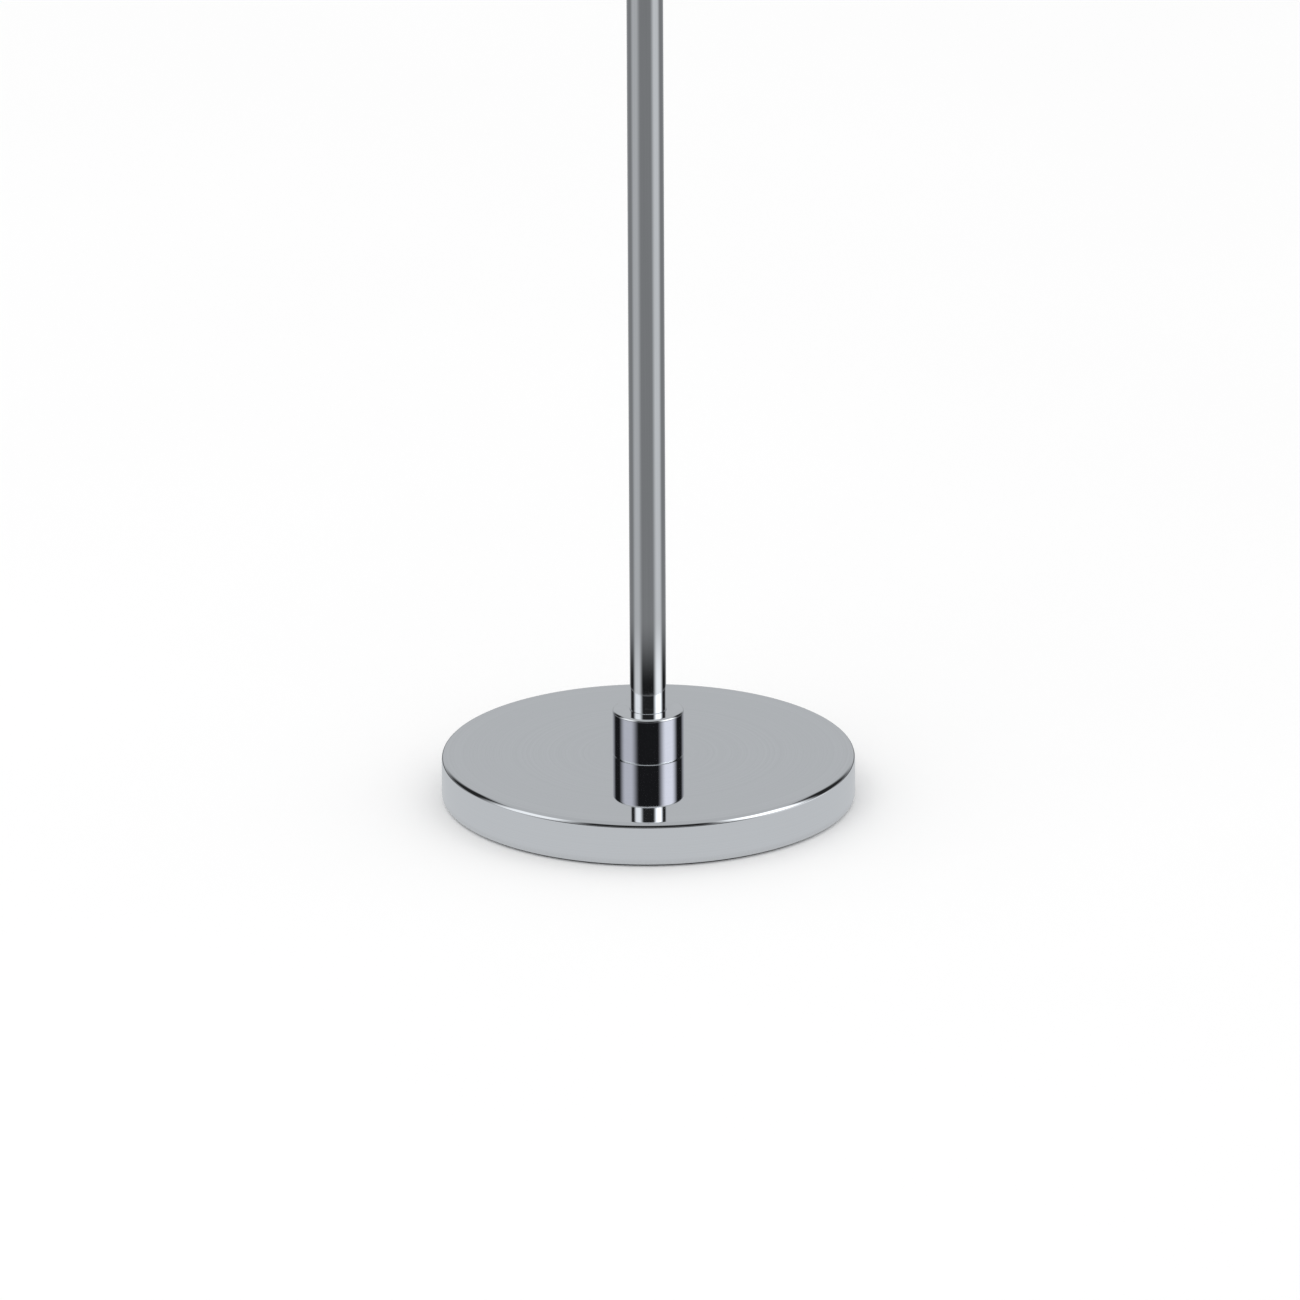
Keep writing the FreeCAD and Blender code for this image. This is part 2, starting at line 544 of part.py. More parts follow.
def hook_ways():
    """The four ways that the hooks point, starting at the front."""
    angles = [2 * math.pi * n / HOOK_COUNT for n in range(HOOK_COUNT)]
    return [Vector(math.sin(a), -math.cos(a), 0) for a in angles]


def hook_path(way):
    """The rod's centre line as tangent runs and bends, and the point and heading where it ends."""
    place, heading = (HOOK_INNER_END, HOOK_Z), 0.0

    def point(at):
        return Vector(way.x * at[0], way.y * at[0], at[1])

    edges = []
    for leg in HOOK_LEGS:
        if leg[0] == "run":
            end = (place[0] + leg[1] * math.cos(heading), place[1] + leg[1] * math.sin(heading))
            edges.append(Part.makeLine(point(place), point(end)))
        else:
            radius, turn = leg[1], math.radians(leg[2])
            side = math.copysign(1.0, turn)
            lever = side * radius
            centre = (place[0] - lever * math.sin(heading), place[1] + lever * math.cos(heading))

            def on_arc(share):
                angle = heading + share * turn
                return (centre[0] + lever * math.sin(angle), centre[1] - lever * math.cos(angle))

            end = on_arc(1.0)
            edges.append(Part.Arc(point(place), point(on_arc(0.5)), point(end)).toShape())
            heading += turn
        place = end
    return Part.Wire(edges), point(place), way * math.cos(heading) + UP * math.sin(heading)


def hook(way):
    """One bag hook: a rod bent up, over, down into the saddle and up again to its tip."""
    path = hook_path(way)[0]
    start = Vector(way.x * HOOK_INNER_END, way.y * HOOK_INNER_END, HOOK_Z)
    section = Part.Wire(Part.makeCircle(HOOK_RADIUS, start, way))
    return path.makePipeShell([section], True, False)


def hook_tip(way):
    """The ball that guards a hook's end, bored for the rod."""
    end, heading = hook_path(way)[1:]
    ball = Part.makeSphere(TIP_RADIUS, end)
    socket = Part.makeCylinder(HOOK_RADIUS + HOOK_BORE_FIT, TIP_RADIUS + OVERCUT, end, heading * -1)
    return ball.cut(socket)


def hook_ball_tips():
    return Part.makeCompound([hook_tip(way) for way in hook_ways()])


# ---- Build --------------------------------------------------------------------------------------------
os.makedirs("parts", exist_ok=True)

PIECES = [
    base_cover, base_weight, base_pad, base_flat_washer, base_spring_washer, base_bolt,
    pole_foot_plug, pole_collar, collar_grub_screw, outer_tube,
    clamp_body, clamp_grub_screw, guide_bush, clamp_shoe, clamp_screw, clamp_knob, clamp_knob_cap,
    slider_bush, mast_retaining_ring, inner_tube, mast_end_plug, mast_top_plug,
    hook_hub, hub_screw, hub_cap, hook_ball_tips,
]
for piece in PIECES:
    save(piece(), piece.__name__)
for name, way in zip(("front", "right", "back", "left"), hook_ways()):
    save(hook(way), f"hook_{name}")
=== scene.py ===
"""The looks of a hospital IV drip stand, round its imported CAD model. Metres, +Z up, the knob faces -Y."""
import json
import math

import bmesh
import bpy
from mathutils import Matrix, Vector


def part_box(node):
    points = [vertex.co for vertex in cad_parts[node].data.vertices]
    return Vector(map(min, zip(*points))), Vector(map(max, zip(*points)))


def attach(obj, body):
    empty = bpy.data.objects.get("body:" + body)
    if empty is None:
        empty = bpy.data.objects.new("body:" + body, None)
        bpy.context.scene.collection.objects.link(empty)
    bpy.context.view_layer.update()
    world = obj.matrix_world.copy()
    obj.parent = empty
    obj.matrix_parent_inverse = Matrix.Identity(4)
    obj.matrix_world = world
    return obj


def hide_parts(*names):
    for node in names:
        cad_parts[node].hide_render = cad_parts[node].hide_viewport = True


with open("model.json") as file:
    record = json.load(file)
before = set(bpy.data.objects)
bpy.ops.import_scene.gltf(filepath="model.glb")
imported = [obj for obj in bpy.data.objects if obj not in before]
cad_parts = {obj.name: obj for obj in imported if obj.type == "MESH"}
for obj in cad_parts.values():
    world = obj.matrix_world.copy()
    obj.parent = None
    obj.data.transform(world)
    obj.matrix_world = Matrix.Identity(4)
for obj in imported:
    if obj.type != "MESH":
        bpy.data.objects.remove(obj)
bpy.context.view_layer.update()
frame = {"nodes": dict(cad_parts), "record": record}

# ---- Sizes, in metres --------------------------------------------------------------------------------------
MM = 0.001
cover_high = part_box("base_cover")[1]
BASE_RADIUS = cover_high.x
BASE_TOP = cover_high.z
COVER_BEND = 3.5 * MM  # outside radius of the cover's upper edge

# ---- Camera ------------------------------------------------------------------------------------------------
CAMERA_ELEVATION = math.radians(19.7)
CAMERA_ROLL = math.radians(0.27)
CAMERA_DISTANCE = 16.0
FRAME_WIDTH = 0.912  # how much of the object's plane the picture spans
AIM_RIGHT = 0.0015  # the middle of the picture, from the middle of the base's top
AIM_UP = 0.0720
SENSOR = 36.0
CLIP_NEAR, CLIP_FAR = 1.0, 100.0

# ---- Light -------------------------------------------------------------------------------------------------
FLOOR_LIGHT = 1.0
STUDIO_TINT = (0.94, 0.97, 1.0)  # a little cooler than the white paper
DARK_ROOM = 0.02
# What stands round the mirror finish. Each has its bearing in degrees from the front, + to the right, how
# far to each side it is fully bright, how far out it has faded away, and its brightness.
SURROUNDINGS = [
    (-70.0, 10.0, 40.0, 1.0),  # soft box on the left
    (70.0, 10.0, 40.0, 1.6),  # soft box on the right, nearer
    (180.0, 25.0, 50.0, 0.5),  # grey backdrop
]
CEILING = 0.5
# The sine of the elevation where the ceiling starts, and where it is all there is.
CEILING_FROM, CEILING_FULL = 0.60, 0.75
TURNTABLE_RADIUS = 0.23
TURNTABLE_GREY = 0.6
FLOOR_SHARE = 0.6  # how much of the studio's brightness the floor below it has
FLOOR_GREY = 0.35  # what the floor fades to
# Where the floor starts to fade, in metres from the pole, where it stops, and how much of it is grey by then.
FADE_FROM, FADE_TO, FADE_SHARE = 0.25, 0.4, 0.6
FLOOR_RADIUS = 60.0
CARD_RADIUS = 30.0
CARD_BELOW = 0.2 * MM  # keeps it clear of the floor that the camera sees
LAMP_PLACE = Vector((-2.0, -2.5, 5.0))
LAMP_AIM = Vector((0, 0, 0.6))
LAMP_SIZE = 3.0
LAMP_WATTS = 25.0


# ---- Node helpers ------------------------------------------------------------------------------------------
class Tree:
    """A node tree with short ways to add and join nodes."""

    def __init__(self, owner):
        owner.use_nodes = True
        self.tree = owner.node_tree
        self.tree.nodes.clear()

    def add(self, kind, inputs=None, **settings):
        node = self.tree.nodes.new(kind)
        for name, value in settings.items():
            setattr(node, name, value)
        for name, value in (inputs or {}).items():
            self.put(node.inputs[name], value)
        return node

    def put(self, socket, value):
        if isinstance(value, bpy.types.NodeSocket):
            self.tree.links.new(value, socket)
        elif isinstance(value, tuple) and socket.type == "RGBA":
            socket.default_value = (*value, 1.0)
        else:
            socket.default_value = value

    def math(self, operation, a, b=0.0):
        return self.add("ShaderNodeMath", {0: a, 1: b}, operation=operation).outputs[0]

    def span(self, value, low, high, to_low=0.0, to_high=1.0, smooth=False):
        """Maps low..high onto to_low..to_high, and holds still outside it."""
        kind = "SMOOTHSTEP" if smooth else "LINEAR"
        inputs = {"Value": value, "From Min": low, "From Max": high, "To Min": to_low, "To Max": to_high}
        return self.add("ShaderNodeMapRange", inputs, interpolation_type=kind).outputs["Result"]

    def mix(self, share, a, b):
        """Colour a, turning into colour b as share goes from 0 to 1."""
        node = self.add("ShaderNodeMix", data_type="RGBA")
        factor, first, second = (s for s in node.inputs if s.enabled)
        self.put(factor, share)
        self.put(first, a)
        self.put(second, b)
        return next(s for s in node.outputs if s.enabled)

    def noise(self, where, scale, detail=3.0, roughness=0.5):
        inputs = {"Vector": where, "Scale": scale, "Detail": detail, "Roughness": roughness}
        return self.add("ShaderNodeTexNoise", inputs).outputs["Fac"]

    def stretch(self, where, x, y, z):
        return self.add("ShaderNodeMapping", {"Vector": where, "Scale": (x, y, z)}).outputs["Vector"]

    def split(self, where):
        return self.add("ShaderNodeSeparateXYZ", {"Vector": where}).outputs

    def reach(self, where):
        """How far a point is from the pole's axis."""
        parts = self.split(where)
        flat = self.add("ShaderNodeCombineXYZ", {"X": parts["X"], "Y": parts["Y"]}).outputs[0]
        return self.add("ShaderNodeVectorMath", {0: flat}, operation="LENGTH").outputs["Value"]

    def bump(self, height, distance, strength=1.0):
        inputs = {"Height": height, "Distance": distance, "Strength": strength}
        return self.add("ShaderNodeBump", inputs).outputs["Normal"]

    def turned_from(self, where, degrees):
        """How many degrees a place's bearing differs from this one, which counts from the front."""
        bearing = math.radians(degrees)
        ahead = (math.sin(bearing), -math.cos(bearing), 0.0)
        product = self.add("ShaderNodeVectorMath", {0: where, 1: ahead}, operation="DOT_PRODUCT")
        cosine = self.math("DIVIDE", product.outputs["Value"], self.reach(where))
        return self.math("DEGREES", self.math("ARCCOSINE", cosine))

    def tinted(self, light):
        """Light of this brightness in the studio's colour."""
        product = self.add("ShaderNodeVectorMath", {0: light, 1: STUDIO_TINT}, operation="MULTIPLY")
        return product.outputs["Vector"]


def grey(value):
    return (value, value, value)


# ---- Studio ------------------------------------------------------------------------------------------------
def surroundings(nodes, where):
    """How bright the studio is by bearing: a dark room, a soft box on each side and a backdrop behind."""
    light = DARK_ROOM
    for bearing, full, gone, brightness in SURROUNDINGS:
        lit = nodes.span(nodes.turned_from(where, bearing), full, gone, brightness, 0.0, smooth=True)
        light = nodes.math("ADD", lit, light)
    return light


def make_world():
    """An even white studio for all but the mirror finish, which sees soft boxes in a dark room."""
    world = bpy.data.worlds.new("studio")
    bpy.context.scene.world = world
    nodes = Tree(world)
    where = nodes.add("ShaderNodeTexCoord").outputs["Generated"]
    overhead = nodes.span(nodes.split(where)["Z"], CEILING_FROM, CEILING_FULL, smooth=True)
    light = nodes.mix(overhead, surroundings(nodes, where), grey(CEILING))
    mirrored = nodes.add("ShaderNodeBackground", {"Color": nodes.tinted(light)})
    plain = nodes.add("ShaderNodeBackground", {"Color": grey(1.0), "Strength": FLOOR_LIGHT})
    glossy = nodes.add("ShaderNodeLightPath").outputs["Is Glossy Ray"]
    both = nodes.add("ShaderNodeMixShader", {0: glossy, 1: plain.outputs[0], 2: mirrored.outputs[0]})
    nodes.add("ShaderNodeOutputWorld", {"Surface": both.outputs[0]})


def stage_object(name, mesh):
    made = bpy.data.objects.new(name, mesh)
    bpy.context.scene.collection.objects.link(made)
    return made


def disc(name, radius, height):
    mesh = bpy.data.meshes.new(name)
    shape = bmesh.new()
    bmesh.ops.create_circle(shape, cap_ends=True, segments=96, radius=radius)
    bmesh.ops.translate(shape, vec=(0, 0, height), verts=shape.verts)
    shape.to_mesh(mesh)
    shape.free()
    return stage_object(name, mesh)


def make_floor():
    """The pale floor that the camera sees. Reflections show the card below it instead."""
    floor = disc("floor", FLOOR_RADIUS, 0.0)
    material = bpy.data.materials.new("floor_paper")
    nodes = Tree(material)
    where = nodes.add("ShaderNodeTexCoord").outputs["Object"]
    tone = nodes.span(nodes.noise(where, 2.0), 0.3, 0.7, 0.945, 0.955)
    colour = nodes.add("ShaderNodeCombineColor", {"Red": tone, "Green": tone, "Blue": tone}).outputs[0]
    paper = nodes.add("ShaderNodeBsdfDiffuse", {"Color": colour})
    nodes.add("ShaderNodeOutputMaterial", {"Surface": paper.outputs[0]})
    floor.data.materials.append(material)
    floor.visible_glossy = False


def make_floor_card():
    """The floor as the mirror finish sees it: a pale turntable on a floor lit by the soft boxes."""
    card = disc("floor_reflection", CARD_RADIUS, -CARD_BELOW)
    material = bpy.data.materials.new("floor_glow")
    material.cycles.emission_sampling = "NONE"
    nodes = Tree(material)
    where = nodes.add("ShaderNodeTexCoord").outputs["Object"]
    far = nodes.reach(where)
    lit = nodes.math("MULTIPLY", surroundings(nodes, where), FLOOR_SHARE)
    fade = nodes.span(far, FADE_FROM, FADE_TO, 0.0, FADE_SHARE, smooth=True)
    past_edge = nodes.span(far, TURNTABLE_RADIUS, TURNTABLE_RADIUS + 5 * MM)
    light = nodes.mix(past_edge, grey(TURNTABLE_GREY), nodes.mix(fade, lit, grey(FLOOR_GREY)))
    shining = nodes.add("ShaderNodeEmission", {"Color": nodes.tinted(light)})
    nodes.add("ShaderNodeOutputMaterial", {"Surface": shining.outputs[0]})
    card.data.materials.append(material)
    card.visible_camera = False
    card.visible_diffuse = False
    card.visible_shadow = False
    card.visible_transmission = False


def make_lamp():
    """One large soft box overhead, to the left and in front, which reflections don't show."""
    data = bpy.data.lights.new("soft_box", "AREA")
    data.shape = "DISK"
    data.size = LAMP_SIZE
    data.energy = LAMP_WATTS
    lamp = bpy.data.objects.new("soft_box", data)
    bpy.context.scene.collection.objects.link(lamp)
    lamp.location = LAMP_PLACE
    lamp.rotation_euler = (LAMP_AIM - LAMP_PLACE).to_track_quat("-Z", "Y").to_euler()
    lamp.visible_camera = False
    lamp.visible_glossy = False


def make_camera():
    """Far off and long, so that upright lines stay nearly parallel, and rolled a little as in the picture."""
    data = bpy.data.cameras.new("camera")
    data.sensor_width = SENSOR
    data.lens = SENSOR * CAMERA_DISTANCE / FRAME_WIDTH
    data.clip_start, data.clip_end = CLIP_NEAR, CLIP_FAR
    camera = bpy.data.objects.new("camera", data)
    bpy.context.scene.collection.objects.link(camera)
    back = Vector((0, -math.cos(CAMERA_ELEVATION), math.sin(CAMERA_ELEVATION)))
    up = Vector((0, math.sin(CAMERA_ELEVATION), math.cos(CAMERA_ELEVATION)))
    aim = Vector((AIM_RIGHT, 0, BASE_TOP)) + up * AIM_UP
    camera.location = aim + back * CAMERA_DISTANCE
    camera.rotation_euler = (math.pi / 2 - CAMERA_ELEVATION, 0, 0)
    camera.rotation_euler.rotate_axis("Z", -CAMERA_ROLL)
    bpy.context.scene.camera = camera


# ---- Materials ---------------------------------------------------------------------------------------------
def surface(name):
    """A new material, its nodes and where a point is on the piece, in metres."""
    material = bpy.data.materials.new(name)
    nodes = Tree(material)
    return material, nodes, nodes.add("ShaderNodeTexCoord").outputs["Object"]


def finish_with(nodes, inputs):
    shader = nodes.add("ShaderNodeBsdfPrincipled", inputs)
    nodes.add("ShaderNodeOutputMaterial", {"Surface": shader.outputs[0]})


def polishing_lines(nodes, where, grain):
    """Polishing lines: grain is "rings" round the pole's axis, or the lines' scale along X, Y and Z."""
    if grain != "rings":
        return nodes.noise(nodes.stretch(where, *grain), 1.0, detail=2.0)
    height = nodes.split(where)["Z"]
    place = nodes.add("ShaderNodeCombineXYZ", {"X": nodes.reach(where), "Y": height}).outputs[0]
    return nodes.noise(place, 1800.0, detail=2.0)


def chrome(name, tint, smooth, hazy, grain, painted_side_shade=None, dusty_below=None):
    """Bright chrome plate: a faint haze, polishing lines, pin-sized specks and, low down, a little dust.
    Given a side shade, upright faces get painted shade, darker than the flat faces.
    """
    material, nodes, where = surface(name)
    if painted_side_shade:
        # Painted shade: upright faces take the darker side colour, and flat faces keep the bright chrome
        # tint.
        upright = nodes.split(nodes.add("ShaderNodeTexCoord").outputs["Normal"])["Z"]
        tint = nodes.mix(nodes.span(nodes.math("ABSOLUTE", upright), 0.10, 0.35), painted_side_shade, tint)
    haze = nodes.noise(where, 22.0, detail=5.0)
    lines = polishing_lines(nodes, where, grain)
    specks = nodes.noise(where, 900.0, detail=2.0)
    rough = nodes.span(haze, 0.30, 0.75, smooth, hazy)
    rough = nodes.math("ADD", rough, nodes.span(specks, 0.68, 0.80, 0.0, 0.08))
    worn = nodes.span(lines, 0.3, 0.7, 0.0, 0.05)
    colour = nodes.mix(worn, tint, grey(0.1))
    if dusty_below:
        height = nodes.split(where)["Z"]
        settled = nodes.math("MULTIPLY", nodes.span(height, dusty_below, 0.0, 0.0, 0.5), specks)
        colour = nodes.mix(settled, colour, (0.35, 0.34, 0.32))
        rough = nodes.math("ADD", rough, nodes.math("MULTIPLY", settled, 0.25))
    finish_with(nodes, {"Base Color": colour, "Metallic": 1.0, "Roughness": rough,
                        "Normal": nodes.bump(lines, 0.0002 * MM, 0.5)})
    return material


def cast_iron(name):
    """Dark paint over the grain of a sand casting, with a little rust coming through."""
    material, nodes, where = surface(name)
    grain = nodes.noise(where, 700.0, detail=5.0, roughness=0.65)
    blotch = nodes.noise(where, 30.0)
    colour = nodes.mix(nodes.span(blotch, 0.35, 0.7), (0.035, 0.035, 0.037), (0.075, 0.066, 0.058))
    rough = nodes.span(grain, 0.3, 0.7, 0.55, 0.85)
    finish_with(nodes, {"Base Color": colour, "Metallic": 0.4, "Roughness": rough,
                        "Normal": nodes.bump(grain, 0.25 * MM, 0.8)})
    return material


def rubber(name):
    """Matt rubber sheet with dust in its grain."""
    material, nodes, where = surface(name)
    grain = nodes.noise(where, 2500.0, detail=3.0)
    dust = nodes.noise(where, 55.0, detail=5.0)
    colour = nodes.mix(nodes.span(dust, 0.45, 0.8), (0.020, 0.020, 0.021), (0.075, 0.072, 0.068))
    rough = nodes.span(grain, 0.3, 0.7, 0.75, 0.95)
    finish_with(nodes, {"Base Color": colour, "Roughness": rough, "Specular IOR Level": 0.35,
                        "Normal": nodes.bump(grain, 0.08 * MM, 0.7)})
    return material


def plated(name, colour, worn, smooth, dull):
    """Zinc plate, phosphate, black oxide or bare brass: mottled, with fine turning lines."""
    material, nodes, where = surface(name)
    mottle = nodes.noise(where, 260.0, detail=4.0)
    lines = nodes.noise(nodes.stretch(where, 300.0, 300.0, 3000.0), 1.0, detail=2.0)
    tone = nodes.mix(nodes.span(mottle, 0.35, 0.75), colour, worn)
    rough = nodes.span(mottle, 0.3, 0.7, smooth, dull)
    rough = nodes.math("ADD", rough, nodes.span(lines, 0.4, 0.7, 0.0, 0.08))
    finish_with(nodes, {"Base Color": tone, "Metallic": 1.0, "Roughness": rough,
                        "Normal": nodes.bump(lines, 0.01 * MM, 0.6)})
    return material


def moulded(name, colour, pale, smooth, dull, grain_depth):
    """Moulded plastic with a spark-eroded texture, rubbed paler and smoother in places."""
    material, nodes, where = surface(name)
    grain = nodes.noise(where, 1600.0, detail=3.0)
    wear = nodes.noise(where, 90.0, detail=5.0)
    tone = nodes.mix(nodes.span(wear, 0.5, 0.85), colour, pale)
    rough = nodes.span(grain, 0.3, 0.7, smooth, dull)
    rough = nodes.math("ADD", rough, nodes.span(wear, 0.5, 0.8, 0.0, -0.08))
    finish_with(nodes, {"Base Color": tone, "Roughness": rough, "Specular IOR Level": 0.5,
                        "Normal": nodes.bump(grain, grain_depth, 0.6)})
    return material


CHROME_TINT = (0.86, 0.87, 0.885)
SIDE_SHADE_TINT = (0.5, 0.5, 0.55)  # painted shade on upright faces only, darker than the flat faces' chrome
TURNED_GRAIN = (90.0, 90.0, 2500.0)
KNOB_BLACK = (0.012, 0.012, 0.013)
FINISHES = {
    "base_chrome": chrome("base_chrome_plate", CHROME_TINT, 0.020, 0.035, "rings", dusty_below=7 * MM),
    "tube_chrome": chrome("tube_chrome_plate", CHROME_TINT, 0.025, 0.050, (900.0, 900.0, 6.0)),
    "turned_chrome": chrome("turned_chrome_side_shaded", CHROME_TINT, 0.030, 0.060, TURNED_GRAIN, SIDE_SHADE_TINT),
    "clamp_chrome": chrome("clamp_chrome_plate", CHROME_TINT, 0.045, 0.110, (150.0, 150.0, 150.0)),
    "hook_chrome": chrome("hook_chrome_plate", CHROME_TINT, 0.030, 0.070, (700.0, 700.0, 700.0)),
    "base_iron": cast_iron("painted_iron"),
    "mat_rubber": rubber("black_rubber"),
    "zinc_steel": plated("zinc_plate", (0.60, 0.61, 0.60), (0.42, 0.43, 0.42), 0.25, 0.42),
    "spring_steel": plated("spring_steel_plate", (0.18, 0.18, 0.19), (0.28, 0.27, 0.26), 0.30, 0.50),
    "black_steel": plated("black_oxide", (0.035, 0.035, 0.038), (0.11, 0.11, 0.11), 0.30, 0.50),
    "bush_nylon": moulded("black_nylon", (0.018, 0.018, 0.019), (0.05, 0.05, 0.05), 0.42, 0.58, 0.03 * MM),
    "shoe_brass": plated("brass_turning", (0.72, 0.50, 0.20), (0.50, 0.34, 0.14), 0.20, 0.38),
    "knob_plastic": moulded("knob_thermoset", KNOB_BLACK, (0.045, 0.045, 0.046), 0.34, 0.50, 0.05 * MM),
    "cap_plastic": moulded("cap_gloss", (0.085, 0.090, 0.095), (0.130, 0.135, 0.140), 0.16, 0.26, 0.01 * MM),
}


def paint_cad_nodes():
    for part in frame["record"]["subparts"]:
        for place in frame["nodes"][part["node"]].material_slots:
            place.material = FINISHES[part["material_slot"]]


# ---- Pieces made here --------------------------------------------------------------------------------------
def piece_from(shape, name, body, slot, sharp=40.0):
    """Turns a bmesh into a piece with soft shading between sharp corners."""
    bmesh.ops.recalc_face_normals(shape, faces=shape.faces)
    mesh = bpy.data.meshes.new(name)
    shape.to_mesh(mesh)
    shape.free()
    mesh.polygons.foreach_set("use_smooth", [True] * len(mesh.polygons))
    mesh.set_sharp_from_angle(angle=math.radians(sharp))
    mesh.materials.append(FINISHES[slot])
    piece = bpy.data.objects.new(name, mesh)
    bpy.context.scene.collection.objects.link(piece)
    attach(piece, body)
    return piece


def close_round(shape, rings):
    """Joins each ring of points to the next, and leaves no other faces."""
    for inner, outer in zip(rings, rings[1:]):
        count = len(inner)
        for n in range(count):
            shape.faces.new((inner[n], inner[(n + 1) % count], outer[(n + 1) % count], outer[n]))


def lathe(outline, segments, turn=Matrix.Identity(4)):
    """A closed outline of (radius, height) points spun round Z, then turned into place."""
    shape = bmesh.new()
    rings = []
    for radius, height in outline + outline[:1]:
        rings.append([])
        for n in range(segments):
            angle = 2 * math.pi * n / segments
            point = Vector((radius * math.cos(angle), radius * math.sin(angle), height))
            rings[-1].append(shape.verts.new(turn @ point))
    close_round(shape, rings)
    bmesh.ops.remove_doubles(shape, verts=shape.verts, dist=1e-7)
    return shape


def facing(way, place=Vector()):
    """The turn that carries Z onto a way, and the origin onto a place."""
    return Matrix.Translation(place) @ way.to_track_quat("Z", "Y").to_matrix().to_4x4()


def bend(centre, radius, start, end, steps=12):
    """Points of an arc in a lathe's outline, between two angles in degrees from straight out."""
    points = []
    for n in range(steps + 1):
        angle = math.radians(start + (end - start) * n / steps)
        points.append((centre[0] + radius * math.cos(angle), centre[1] + radius * math.sin(angle)))
    return points


def make_cover():
    """The base's pressed cover: flat top, rounded edge, straight rim and a curled hem, in one fine mesh."""
    wall, foot_bend = 1.5 * MM, 2.5 * MM
    hole, hem = 6.5 * MM, 138.0 * MM
    hold = 0.05 * MM  # keeps a flat face flat in shading, right up to where its bend starts
    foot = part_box("base_pad")[1].z
    shoulder, heel = BASE_RADIUS - COVER_BEND, BASE_RADIUS - foot_bend
    top_centre = (shoulder, BASE_TOP - COVER_BEND)
    foot_centre = (heel, foot + foot_bend)
    outline = [(hole, BASE_TOP), (shoulder - hold, BASE_TOP)]
    outline += bend(top_centre, COVER_BEND, 90, 0)
    outline += [(BASE_RADIUS, top_centre[1] - hold), (BASE_RADIUS, foot_centre[1] + hold)]
    outline += bend(foot_centre, foot_bend, 0, -90)
    outline += [(heel - hold, foot), (hem, foot), (hem, foot + wall)]
    outline += bend(foot_centre, foot_bend - wall, -90, 0, steps=3)
    outline += bend(top_centre, COVER_BEND - wall, 0, 90, steps=3)
    outline += [(hole, BASE_TOP - wall)]
    cover = piece_from(lathe(outline, 256), "base_cover_pressed", "stand", "base_chrome")
    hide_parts("base_cover")


def make_mat():
    """The base's mat, with rounded edges and moulded ribs under it that let it sit flat and grip."""
    low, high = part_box("base_pad")
    outer, top = high.x, high.z
    inner = 32.0 * MM
    pitch, groove, edge = 6.0 * MM, 0.5 * MM, 0.3 * MM
    outline = [(inner, top), (outer - edge, top), (outer, top - edge), (outer, edge), (outer - edge, 0.0)]
    first = 0.7 * pitch  # from the mat's edge to the first groove
    ribs = int((outer - inner - pitch) / pitch)
    for n in range(ribs):
        start = outer - first - pitch * n
        outline += [(start, 0.0), (start - groove, groove)]
        outline += [(start - 3 * groove, groove), (start - 4 * groove, 0.0)]
    outline += [(inner, 0.0)]
    mat = piece_from(lathe(outline, 160), "base_mat_ribbed", "stand", "mat_rubber", sharp=30.0)
    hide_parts("base_pad")


def thread_depth(turns):
    """How deep the thread is cut, from 0 at a crest to 1 at a root, by turns along the helix."""
    half_root, half_cut = 0.1, 0.3  # in turns, each side of the middle of the groove
    from_middle = abs(turns % 1.0 - 0.5)
    return min(1.0, max(0.0, (half_cut - from_middle) / (half_cut - half_root)))


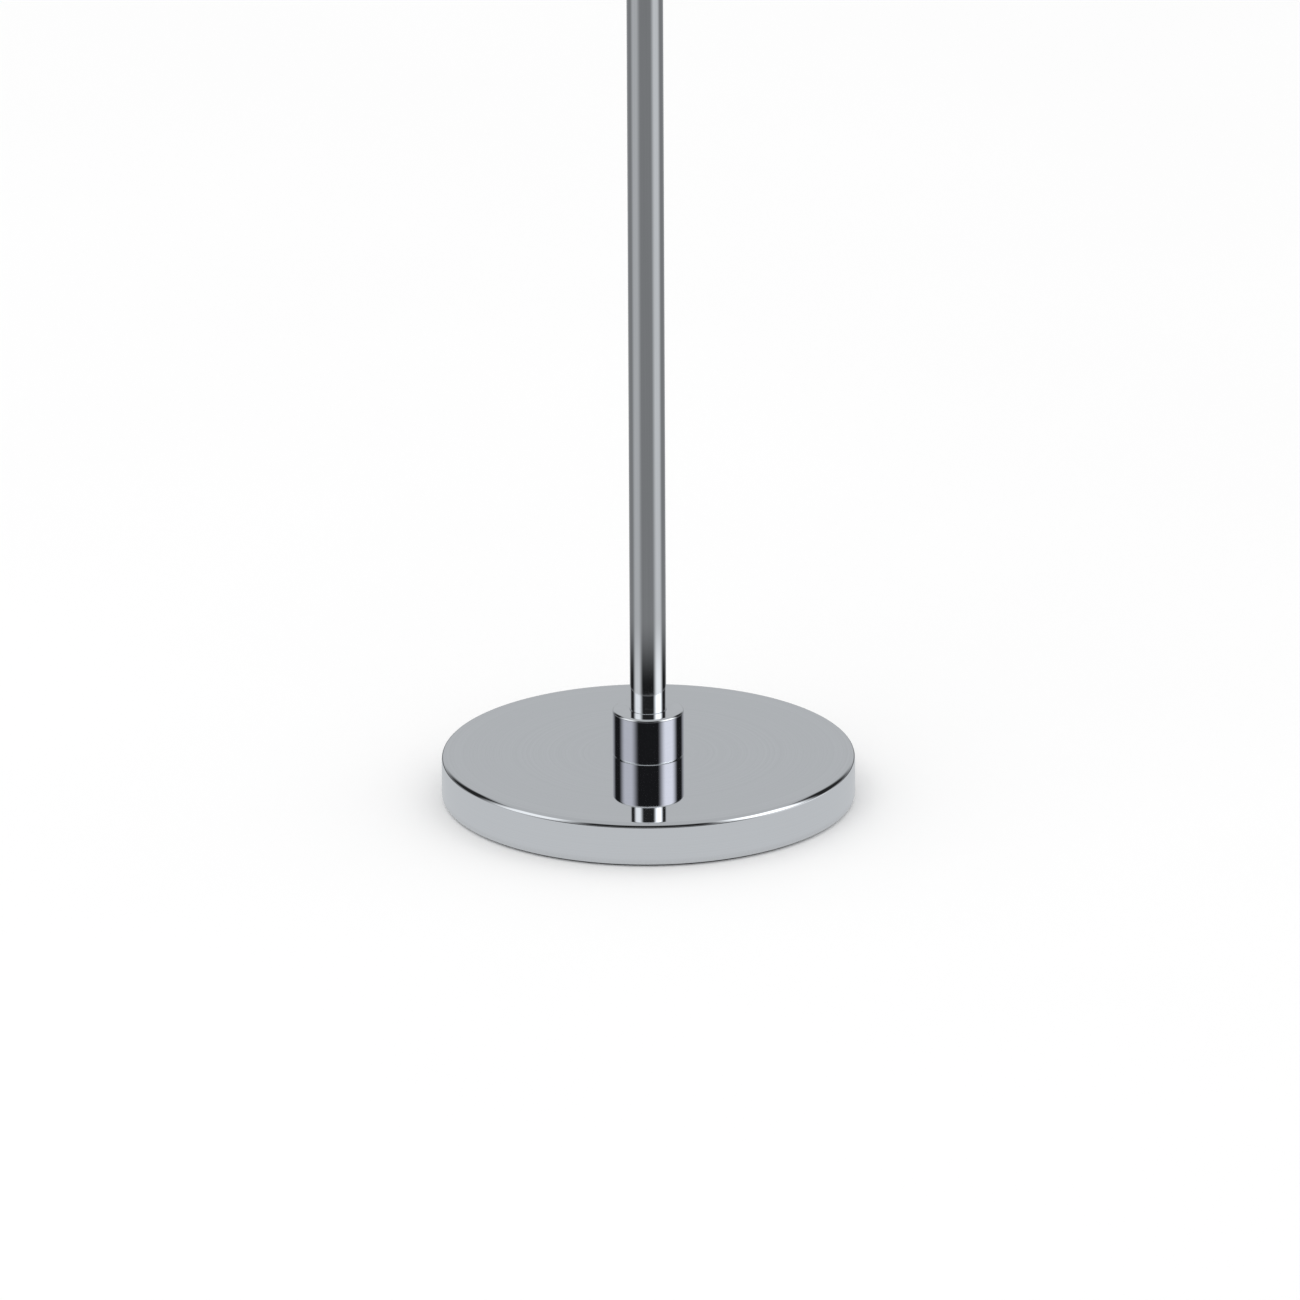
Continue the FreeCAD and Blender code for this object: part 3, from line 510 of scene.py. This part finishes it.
def make_clamp_screw():
    """The clamp's M8 screw with a real helical thread and its plain pivot."""
    low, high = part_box("clamp_screw")
    clearance, point = 0.1 * MM, 0.3 * MM
    shoulder = -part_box("clamp_shoe")[0].y + clearance
    pivot_start, end = -high.y, -low.y
    major, minor, pivot = high.x, 3.35 * MM, 2.0 * MM
    pitch, steps, segments = 1.25 * MM, 12, 48
    middle = (low.z + high.z) / 2
    turn = facing(Vector((0, -1, 0)), Vector((0, 0, middle)))
    shape = bmesh.new()

    def ring(height, radius_at):
        points = []
        for n in range(segments):
            angle = 2 * math.pi * n / segments
            radius = radius_at(n / segments)
            point_on_it = Vector((radius * math.cos(angle), radius * math.sin(angle), height))
            points.append(shape.verts.new(turn @ point_on_it))
        return points

    rings = [ring(pivot_start, lambda turned: pivot - point)]
    rings.append(ring(pivot_start + point, lambda turned: pivot))
    rings.append(ring(shoulder, lambda turned: pivot))
    rings.append(ring(shoulder, lambda turned: minor))
    run_in = 0.6 * MM
    length = end - shoulder
    count = int(length / pitch * steps)
    for n in range(1, count):
        along = length * n / count
        tapered = min(1.0, along / run_in, (length - along) / run_in)

        def radius_at(turned, along=along, tapered=tapered):
            crest = minor + (major - minor) * tapered
            return crest - (crest - minor) * thread_depth(along / pitch - turned)

        rings.append(ring(shoulder + along, radius_at))
    rings.append(ring(end, lambda turned: minor))
    close_round(shape, rings)
    shape.faces.new(rings[0])
    shape.faces.new(rings[-1])
    screw = piece_from(shape, "clamp_screw_threaded", "knob", "zinc_steel", sharp=50.0)
    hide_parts("clamp_screw")


def make_knob_insert():
    """The brass insert moulded into the knob, which shows as a ring round the screw."""
    neck = -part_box("clamp_knob")[1].y
    screw_low, screw_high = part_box("clamp_screw")
    middle = (screw_low.z + screw_high.z) / 2
    bore, outer, proud, deep = 4.12 * MM, 6.2 * MM, 0.35 * MM, 1.0 * MM
    edge = 0.25 * MM
    outline = [(bore, deep), (outer, deep), (outer, edge - proud), (outer - edge, -proud),
               (bore + edge, -proud), (bore, edge - proud)]
    turn = facing(Vector((0, -1, 0)), Vector((0, -neck, middle)))
    piece_from(lathe(outline, 64, turn), "knob_brass_insert", "knob", "shoe_brass")


def make_hook_beads():
    """The bead of braze round each hook where it enters the hub."""
    rod = (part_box("hook_front")[1].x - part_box("hook_front")[0].x) / 2
    hub_radius = 15.5 * MM
    hooks_up = 23.0 * MM  # from the hub's lower end
    sunk, leg, overlap = 1.0 * MM, 1.3 * MM, 0.1 * MM
    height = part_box("hook_hub")[0].z + hooks_up
    foot, root = hub_radius - sunk, rod - overlap
    steps = 8
    for number, name in enumerate(("front", "right", "back", "left")):
        angle = math.pi / 2 * number
        way = Vector((math.sin(angle), -math.cos(angle), 0))
        outline = [(root, foot), (rod + leg, foot)]
        for n in range(steps + 1):
            lean = math.pi / 2 * n / steps
            outline.append((rod + leg - leg * math.sin(lean), hub_radius + leg - leg * math.cos(lean)))
        outline.append((root, hub_radius + leg))
        turn = facing(way, Vector((0, 0, height)))
        piece_from(lathe(outline, 48, turn), f"hook_braze_{name}", "mast", "hook_chrome", sharp=60.0)


# ---- Build -------------------------------------------------------------------------------------------------
bpy.context.scene.view_settings.view_transform = "Standard"
make_world()
make_floor()
make_floor_card()
make_lamp()
make_camera()
paint_cad_nodes()
make_cover()
make_mat()
make_clamp_screw()
make_knob_insert()
make_hook_beads()
